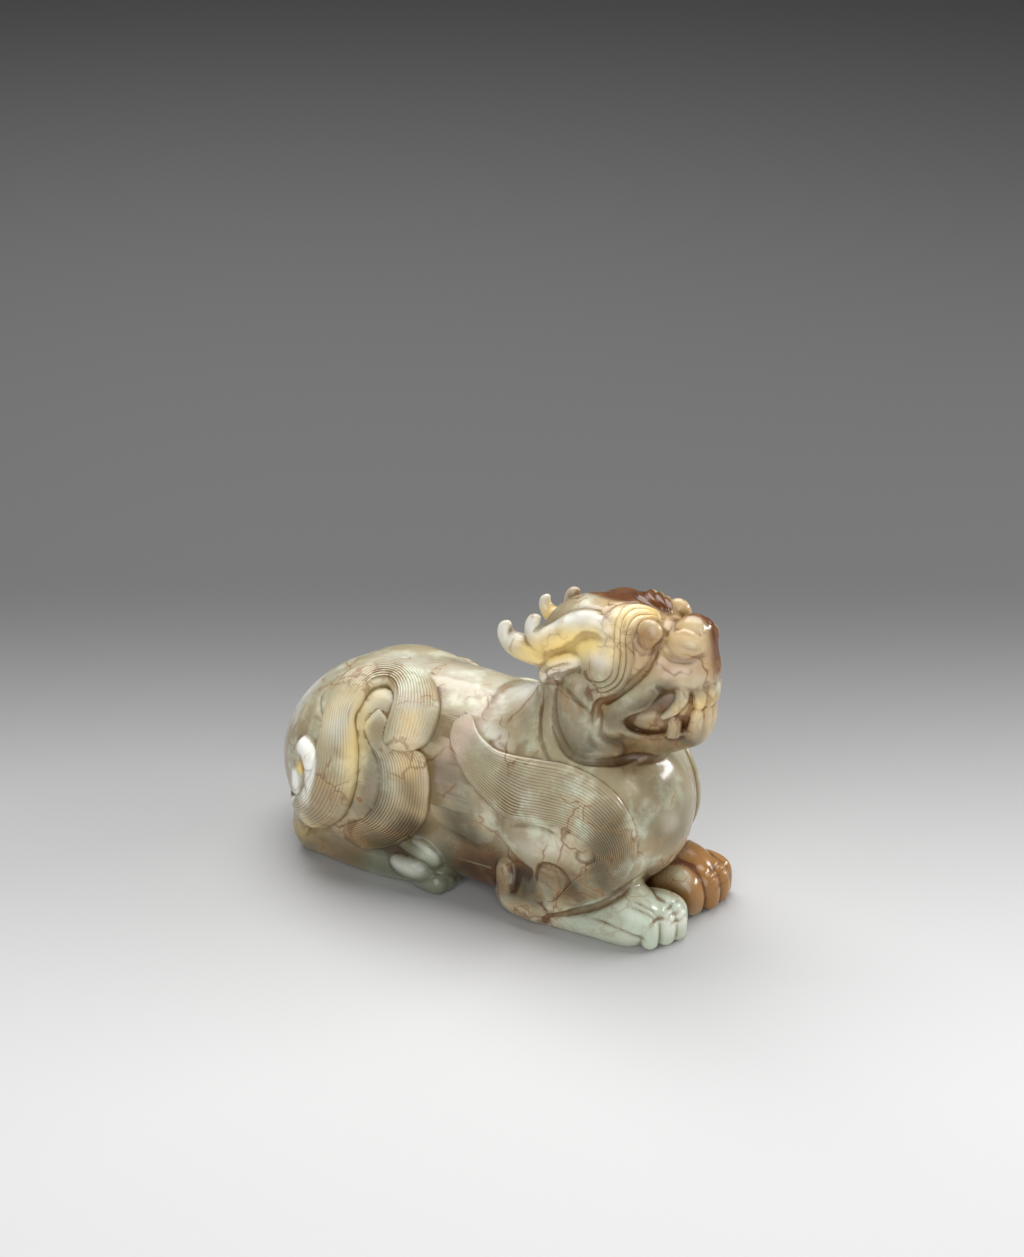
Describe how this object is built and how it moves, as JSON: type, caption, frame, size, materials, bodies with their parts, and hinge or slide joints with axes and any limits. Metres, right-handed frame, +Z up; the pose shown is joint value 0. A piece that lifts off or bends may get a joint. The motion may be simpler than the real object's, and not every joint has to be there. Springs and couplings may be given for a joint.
{
  "type": "carved jade statuette",
  "caption": "Recumbent mythical beast carved from one pebble of jade, with raised head, hooked mane locks, striated bands and a tail laid over the haunch.",
  "frame": {"origin": "on the table, under the middle of the carving", "axes": "+X towards the head, +Y towards the beast's left side, +Z up"},
  "size_m": [0.1288, 0.0572, 0.0891],
  "materials": {
    "jade": "polished pale celadon jade with russet veins and brown skin on the crown, nose and one paw"
  },
  "bodies": {
    "root": {"jade_beast": "jade"}
  },
  "joints": []
}
